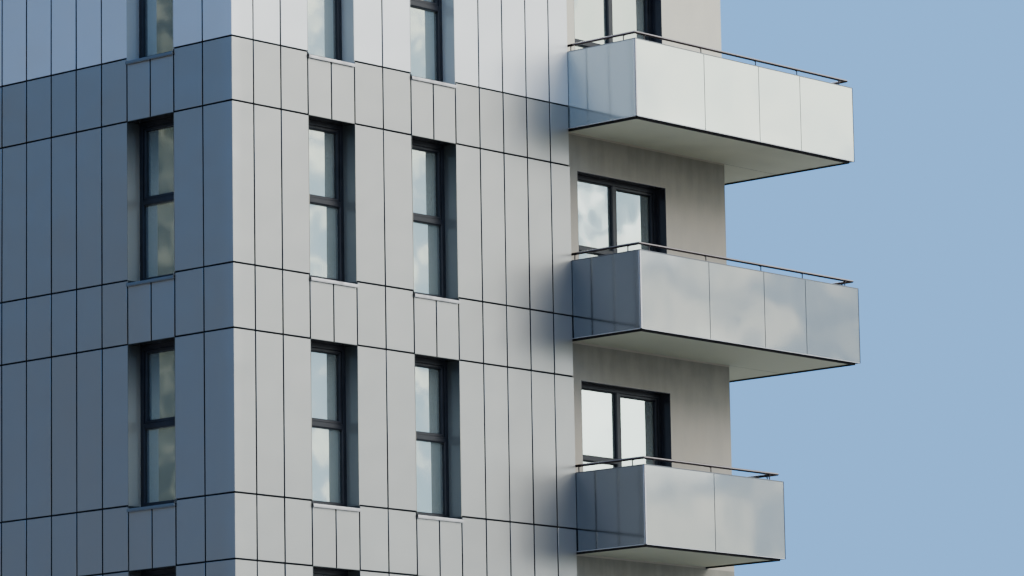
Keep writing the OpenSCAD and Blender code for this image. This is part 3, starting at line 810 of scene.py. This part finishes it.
glazing = start_material("mirror_glazing")
wave = noise(1.6, 1.0)
finish_material(glazing, blend(wave.above(0.3, 0.7), glass_tint, glass_clear), Metallic=0.80,
                Roughness=0.03, IOR=1.5, Alpha=0.86, Normal=bump(wave, 0.0015))
dress(glazing, *(f"{side}_glass" for side in sides))


# Balcony slabs: concrete cantilevers with a painted soffit, duller under the lower balconies. Their
# edges and the drip edge that hangs below them are painted near-black as shade.
soffit_green = (0.65, 0.64, 0.475, 1)
soffit_worn = (0.54, 0.53, 0.39, 1)
soffit_low = (0.50, 0.495, 0.36, 1)
slab_edge_shade = (0.020, 0.019, 0.020, 1)
drip_height = 0.025
top_balcony_from = top_line - 0.5

soffit = start_material("painted_soffit")
spot_z = place().part("Z")
trace = noise(1.1, 5.0).above(0.35, 0.75)
above_drip = (spot_z - (top_line - soffit_below)).over(storey)
on_drip = 1 - above_drip.above(0.5 * drip_height, 0.6 * drip_height)
# Painted shade: the slab's upright faces and the band at its foot turn near-black.
painted_edge_shade = (1 - abs(turned_to("Z"))).above(*square_on).maths("MAXIMUM", on_drip)
underside = blend(spot_z.above(top_balcony_from, top_balcony_from + 0.1), soffit_low,
                  blend(trace * 0.7, soffit_green, soffit_worn))
finish_material(soffit, blend(painted_edge_shade, underside, slab_edge_shade),
                Roughness=0.88, Normal=bump(noise(150.0) + trace, 0.0010))
dress(soffit, *(f"balcony_slab_{k}" for k in floors))


# Balcony floors: square concrete pavers laid on supports over the slabs with open joints, cut where
# they meet the walls.
paver = 0.50
paver_joint = 0.005
paver_height = 0.020
paver_gap = 0.010
paver_pale = (0.44, 0.43, 0.41, 1)
paver_dark = (0.30, 0.295, 0.28, 1)


def pavers(low_x, high_x, low_y, high_y, base):
    """Boxes of a grid of pavers that face up. Joints stand a paver's width apart from the outer corner
    on, and the last row and column are cut to fit."""
    cuts_x, cuts_y = (np.append(np.arange(start, stop - paver_joint, paver), stop)
                      for start, stop in ((low_x, high_x), (low_y, high_y)))
    x0, y0 = (cut.ravel() + paver_joint / 2 for cut in np.meshgrid(cuts_x[:-1], cuts_y[:-1], indexing="ij"))
    x1, y1 = (cut.ravel() - paver_joint / 2 for cut in np.meshgrid(cuts_x[1:], cuts_y[1:], indexing="ij"))
    level = np.full(len(x0), -base)
    return spans([x0, level - paver_height, y0], [x1, level, y1])


slab_boxes = [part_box(f"balcony_slab_{k}") for k in floors]
laid = []
for low, high in slab_boxes:
    laid.append(pavers(low.x, high.x, low.y, bay_low.y - paver_gap, high.z))
    if high.x > bay_high.x:
        laid.append(pavers(bay_high.x + paver_gap, high.x, bay_low.y, high.y, high.z))
laid = np.concatenate(laid)
paving = start_material("concrete_pavers")
speckle = noise(140.0, 3.0).above(0.45, 0.65)
finish_material(paving, blend(speckle * 0.5 + mark("tone") * 0.2 + 0.2, paver_pale, paver_dark),
                Roughness=0.9, Normal=bump(speckle, 0.0006))
face_up = np.array([[1, 0, 0], [0, 0, 1], [0, -1, 0]])
build("balcony_pavers", paving, "concrete",
      [(*trays(laid, block_edge, closed=True), face_up, tones(len(laid), np.zeros((7, 7))))])


# Balcony panels: opaque back-painted glass, white on the top balcony and grey on the rest, held by the
# posts in a slim metal channel and a cap. A bright angle ends each run on the left or in front, and a
# dark profile on the right or behind.
cap_height = 0.014
cap_over = 0.004
channel_height = 0.009
angle_width = {"front": 0.026, "left": 0.014, "back": 0.014, "right": 0.014}
dark_end = 0.022
panel_edge = 0.0015
panel_back = 0.001
stand_middle = 0.4
level_slack = 0.01
grey_lit_front = ((0.315, 0.345, 0.365, 1), (0.355, 0.380, 0.395, 1))
grey_shaded_side = ((0.37, 0.41, 0.45, 1), (0.41, 0.445, 0.475, 1))
white_lit_front = ((0.84, 0.95, 0.92, 1), (0.89, 0.98, 0.94, 1))
white_shaded_side = (0.60, 0.68, 0.69, 1)
cap_grey, cap_worn = (0.15, 0.16, 0.18, 1), (0.21, 0.22, 0.24, 1)
angle_bright, angle_worn = (0.72, 0.71, 0.72, 1), (0.80, 0.79, 0.80, 1)
end_dark, end_worn = (0.030, 0.034, 0.055, 1), (0.050, 0.054, 0.080, 1)

panel_paint = start_material("back_painted_glass")
white = place().part("Z").above(top_balcony_from, top_balcony_from + 0.05)
hazy = noise(0.8, 3.0).above(0.35, 0.70)
# Painted light and shade: panels turned along X take a shaded tone, those turned along Y a lit one.
aside = abs(turned_to("X")).above(*square_on)
grey_tone = blend(aside, blend(hazy, *grey_lit_front), blend(hazy, *grey_shaded_side))
white_tone = blend(aside, blend(hazy, *white_lit_front), white_shaded_side)
finish_material(panel_paint, blend(white, grey_tone, white_tone), Metallic=0.96 - white * 0.26,
                Roughness=0.05 + aside * 0.05, Normal=bump(noise(0.9, 1.0), 0.004))
slab_middles = np.array([[(low.x + high.x) / 2, (low.y + high.y) / 2] for low, high in slab_boxes])
slab_levels = np.array([high.z for low, high in slab_boxes])


def balcony_side(boxes):
    """Side of its own balcony that each box stands on: that of the slab whose level lies nearest to
    stand_middle below the box's centre."""
    own = np.abs(boxes[:, :, 2].mean(axis=1)[:, None] - slab_levels[None] - stand_middle).argmin(axis=1)
    return facing(boxes, slab_middles[own])


def strips(low, high, end, width, axis):
    """Boxes from low to high, cut down to a width from one end along an axis."""
    boxes = np.stack([low, high], axis=1)
    boxes[:, 1 - end, axis] = boxes[:, end, axis] + (width if end == 0 else -width)
    return boxes


capping = mottled("capping_metal", 12.0, cap_grey, cap_worn, Metallic=0.6, Roughness=0.40)
angle_metal = mottled("bright_angle_metal", 12.0, angle_bright, angle_worn, Metallic=0.5, Roughness=0.35)
end_metal = mottled("dark_end_profile", 12.0, end_dark, end_worn, Metallic=0.2, Roughness=0.45)
for reach in ("short", "long"):
    node = f"{reach}_balcony_panels"
    boxes = solids(node)
    side_of = balcony_side(boxes)
    plates, caps, angles, ends = [], [], [], []
    for side in walls:
        some = local(boxes[side_of == side], side)
        for level in np.unique(np.round(some[:, 0, 2], 2)):
            row = some[np.abs(some[:, 0, 2] - level) < level_slack]
            low, high = row.min(axis=(0, 1))[None], row.max(axis=(0, 1))[None] + [0, cap_over, 0]
            below_cap = high - [0, 0, cap_height]
            plate = row + [[0, panel_back, channel_height], [0, 0, -cap_height]]
            plates.append(blocks(plate, side, panel_edge))
            caps.append(blocks(strips(low, high, 1, cap_height, 2), side))
            angles.append(blocks(strips(low, high, 0, channel_height, 2), side))
            angles.append(blocks(strips(low, below_cap, 0, angle_width[side], 0), side))
            ends.append(blocks(strips(low, below_cap, 1, dark_end, 0), side))
    build(f"{reach}_balcony_glass", panel_paint, "balcony_panel", plates, node)
    build(f"{reach}_balcony_capping", capping, "handrail_steel", caps)
    build(f"{reach}_balcony_angles", angle_metal, "handrail_steel", angles)
    build(f"{reach}_balcony_ends", end_metal, "window_frame", ends)


# Handrails: a steel tube mitred and welded at the corners, on bent rods that rise from flat posts
# behind the panels. The posts are bolted to the slab's edge.
rail_sides = 20
rod_radius = 0.009
rod_sides = 8
rod_steps = 7
rod_below = 0.03
saddle = np.array([0.044, 0.026, 0.004])
saddle_edge = 0.001
bracket_reach = 0.3
post_least = 0.5
rail_underside_shade = (0.060, 0.047, 0.052, 1)
rail_bright = (0.50, 0.47, 0.48, 1)
rail_dull = (0.38, 0.35, 0.36, 1)
rod_dark, rod_worn = (0.060, 0.052, 0.056, 1), (0.100, 0.088, 0.092, 1)
post_dark, post_worn = (0.030, 0.032, 0.038, 1), (0.048, 0.050, 0.056, 1)


def tubes(paths, axes, radius, sides):
    """Round tubes along flat paths. A ring stands at each point, square to the mean of the two runs and
    stretched by the mitre; axes are the unit normals of the paths' planes."""
    run = np.diff(paths, axis=1)
    run = run / np.linalg.norm(run, axis=2, keepdims=True)
    before = np.concatenate([run[:, :1], run], axis=1)
    after = np.concatenate([run, run[:, -1:]], axis=1)
    mean = before + after
    mean = mean / np.linalg.norm(mean, axis=2, keepdims=True)
    stretch = 1 / (mean * before).sum(axis=2)
    normal = np.broadcast_to(axes[:, None], mean.shape)
    aside = np.cross(mean, normal) * stretch[..., None]
    turn = np.arange(sides) * 2 * math.pi / sides
    ring = (np.cos(turn)[:, None] * aside[:, :, None] + np.sin(turn)[:, None] * normal[:, :, None])
    return loft(paths[:, :, None] + radius * ring)


def rail_path(rails, level):
    """Path of one handrail: from the wall along the left arm, the front and the right arm, and on along
    the arm that turns behind the bay where there is one."""
    centre = rails.mean(axis=1)
    size = rails[:, 1] - rails[:, 0]
    along_x = size[:, 0] > size[:, 1]
    arms = rails[~along_x][np.argsort(centre[~along_x][:, 0])]
    cross = rails[along_x][np.argsort(centre[along_x][:, 1])]
    left_x, right_x = arms[:, :, 0].mean(axis=1)
    front_y = cross[0, :, 1].mean()
    path = [[left_x, arms[0, 1, 1], level], [left_x, front_y, level], [right_x, front_y, level]]
    if len(cross) == 1:
        return path + [[right_x, arms[1, 1, 1], level]]
    end_y = cross[1, :, 1].mean()
    return path + [[right_x, end_y, level], [cross[1, 0, 0], end_y, level]]


def rods(brackets, side):
    """Batches of bent rods and their saddles. A rod rises evenly and sways inwards by the smooth step
    s * s * (3 - 2 * s) of its rise."""
    (u0, d0, z0), (u1, d1, z1) = brackets[:, 0].T, brackets[:, 1].T
    middle = (u0 + u1) / 2
    foot, head = d0 + rod_radius, d1 - rod_radius
    steps = np.linspace(0, 1, rod_steps)[None]
    sway = steps ** 2 * (3 - 2 * steps)
    rise = z0[:, None] - rod_below + (z1 - z0 + rod_below)[:, None] * steps
    inwards = foot[:, None] + (head - foot)[:, None] * sway
    path = np.stack(np.broadcast_arrays(middle[:, None], inwards, rise), axis=-1)
    axis = np.tile([1.0, 0.0, 0.0], (len(brackets), 1))
    seat = np.stack([middle, head, z1 - saddle[2] / 2], axis=1)[:, None]
    return [(*tubes(path, axis, rod_radius, rod_sides), walls[side], 0.0),
            blocks(seat + np.stack([-saddle, saddle]) / 2, side, saddle_edge)]


steel = start_material("brushed_handrail_steel")
brushed = blend(noise(25.0, 3.0), rail_bright, rail_dull)
# Painted shade: the underside of the tube turns dark, standing in for the dark it mirrors below; the top is
# brushed steel.
finish_material(steel, blend(turned_to("Z").above(-0.15, 0.45), rail_underside_shade, brushed), Metallic=1.0,
                Roughness=0.08 + noise(60.0) * 0.12, Normal=bump(noise(900.0, 1.0), 0.00005))
rod_steel = mottled("dark_bracket_steel", 30.0, rod_dark, rod_worn, Metallic=0.7, Roughness=0.35)
post_coat = mottled("dark_post_coat", 9.0, post_dark, post_worn, Roughness=0.45)
for reach in ("short", "long"):
    node = f"{reach}_handrails"
    boxes = solids(node)
    size = boxes[:, 1] - boxes[:, 0]
    long = size[:, :2].max(axis=1) > bracket_reach
    tall = size[:, 2] > post_least
    rails, posts, brackets = boxes[long], boxes[tall], boxes[~tall & ~long]
    heights = rails[:, :, 2].mean(axis=1)
    paths = np.array([rail_path(rails[np.abs(heights - level) < level_slack], level)
                      for level in np.unique(np.round(heights, 3))])
    upwards = np.tile([0.0, 0.0, 1.0], (len(paths), 1))
    radius = (rails[0, 1, 2] - rails[0, 0, 2]) / 2
    rail_batch = [(*tubes(paths, upwards, radius, rail_sides), np.eye(3), 0.0)]
    post_batch, rod_batch = [], []
    for side in walls:
        some = local(brackets[balcony_side(brackets) == side], side)
        if len(some):
            rod_batch += rods(some, side)
        some = local(posts[balcony_side(posts) == side], side)
        if len(some):
            post_batch.append(blocks(some, side))
    build(f"{reach}_rails", steel, "handrail_steel", rail_batch, node)
    build(f"{reach}_posts", post_coat, "window_frame", post_batch)
    build(f"{reach}_brackets", rod_steel, "handrail_steel", rod_batch)


# Guards of the balcony doors that have no balcony: a top and a bottom rail with upright bars between
# them, of coated flat steel, fixed to the sides of the opening.
guard_width, guard_depth = 0.050, 0.016
guard_bar = 0.014
guard_pitch = 0.105
guard_low, guard_high = 0.10, 1.10
guard_in = 0.045
balcony_near = 0.5

doors = local(door_boxes[facing(door_boxes) == "right"], "right")
served = slab_levels[[high.x > bay_high.x for low, high in slab_boxes]]
foot = doors[:, 0, 2]
alone = np.abs(foot[:, None] - served[None]).min(axis=1) > balcony_near
bare = doors[alone & (foot > lines[1] - balcony_near)]
(left_u, steel_d, foot), right_u = bare[:, 0].T, bare[:, 1, 0]
steel_d = steel_d - guard_in
guards = [spans([left_u, steel_d - guard_depth, foot + height - guard_width / 2],
                [right_u, steel_d, foot + height + guard_width / 2]) for height in (guard_low, guard_high)]
opening = right_u[0] - left_u[0]
bars = math.floor(opening / guard_pitch)
u = (left_u[:, None] + (np.arange(bars) + 0.5) * opening / bars).ravel()
d, z = np.repeat(steel_d - guard_depth / 2, bars), np.repeat(foot, bars)
guards.append(spans([u - guard_bar / 2, d - guard_bar / 2, z + guard_low + guard_width / 2],
                    [u + guard_bar / 2, d + guard_bar / 2, z + guard_high - guard_width / 2]))
build("door_guards", post_coat, "window_frame", [blocks(np.concatenate(guards), "right")])


# Coping: lacquered aluminium sheet folded over the parapet and clipped down, in lengths that meet at
# dark sealed joints.
coping_length = 2.5
coping_joint = 0.006
coping_pale = (0.60, 0.61, 0.62, 1)
coping_worn = (0.72, 0.73, 0.73, 1)
seal_dark = (0.05, 0.05, 0.055, 1)
coping_width = 0.5
ends_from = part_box("coping")[1].y - coping_width

coping_paint = start_material("coping_sheet")
spot = place()
spot_x, spot_y = spot.part("X"), spot.part("Y")
run = spot_y + abs(spot_y).above(ends_from, ends_from + 0.01) * (spot_x - spot_y)
from_seal = abs(run.over(coping_length) - coping_length / 2)
seal = 1 - from_seal.above(coping_joint / 2, coping_joint)
worn = blend(noise(1.5, 4.0), coping_pale, coping_worn)
finish_material(coping_paint, blend(seal, worn, seal_dark), Metallic=0.3, Roughness=0.38,
                Normal=bump(noise(3.0, 1.0), 0.002))
dress(coping_paint, "coping")


# Roof: strips of mineral felt torched on over the insulation, each lapped over the one before it. The
# height over the slab is the felt's, a step at each lap that thins out, and a product of two slow waves.
felt_strip = 1.0
felt_lap = 0.004
lap_before, lap_after = 0.001, 0.002
lap_thinned = 0.25
felt_margin = 0.012
felt_rise = 0.003
felt_wave = 0.0012
felt_points = 41
felt_dark = (0.13, 0.135, 0.14, 1)
felt_grey = (0.24, 0.245, 0.25, 1)
puddle_brown = (0.10, 0.095, 0.085, 1)

low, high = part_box("roof_slab")
count = math.ceil((high.y - low.y) / felt_strip)
low_y = np.linspace(low.y + felt_margin, high.y - felt_margin, count + 1)
strip_x = np.linspace(low.x + felt_margin, high.x - felt_margin, felt_points)
strip_y = np.stack([low_y[:-1], low_y[:-1] + lap_after, low_y[1:] - lap_before], axis=1).ravel()
strip_z = np.tile([0.0, felt_lap, felt_lap * lap_thinned], count)
x, y = np.meshgrid(strip_x, strip_y, indexing="ij")
sag = felt_wave * (1 + np.sin(x * 2.1 + y * 0.9) * np.sin(y * 1.7))
points = np.stack([x, y, high.z + felt_rise + strip_z[None] + sag], axis=-1).reshape(-1, 3)
felt = start_material("mineral_felt")
grit = noise(260.0).above(0.35, 0.65)
puddle = noise(0.7, 4.0).above(0.45, 0.70)
finish_material(felt, blend(puddle * 0.6, blend(grit, felt_dark, felt_grey), puddle_brown),
                Roughness=0.95 - puddle * 0.15, Normal=bump(grit, 0.0008))
build("roof_felt", felt, "concrete", [(points, [grid(1, felt_points, len(strip_y))], np.eye(3), 0.0)])
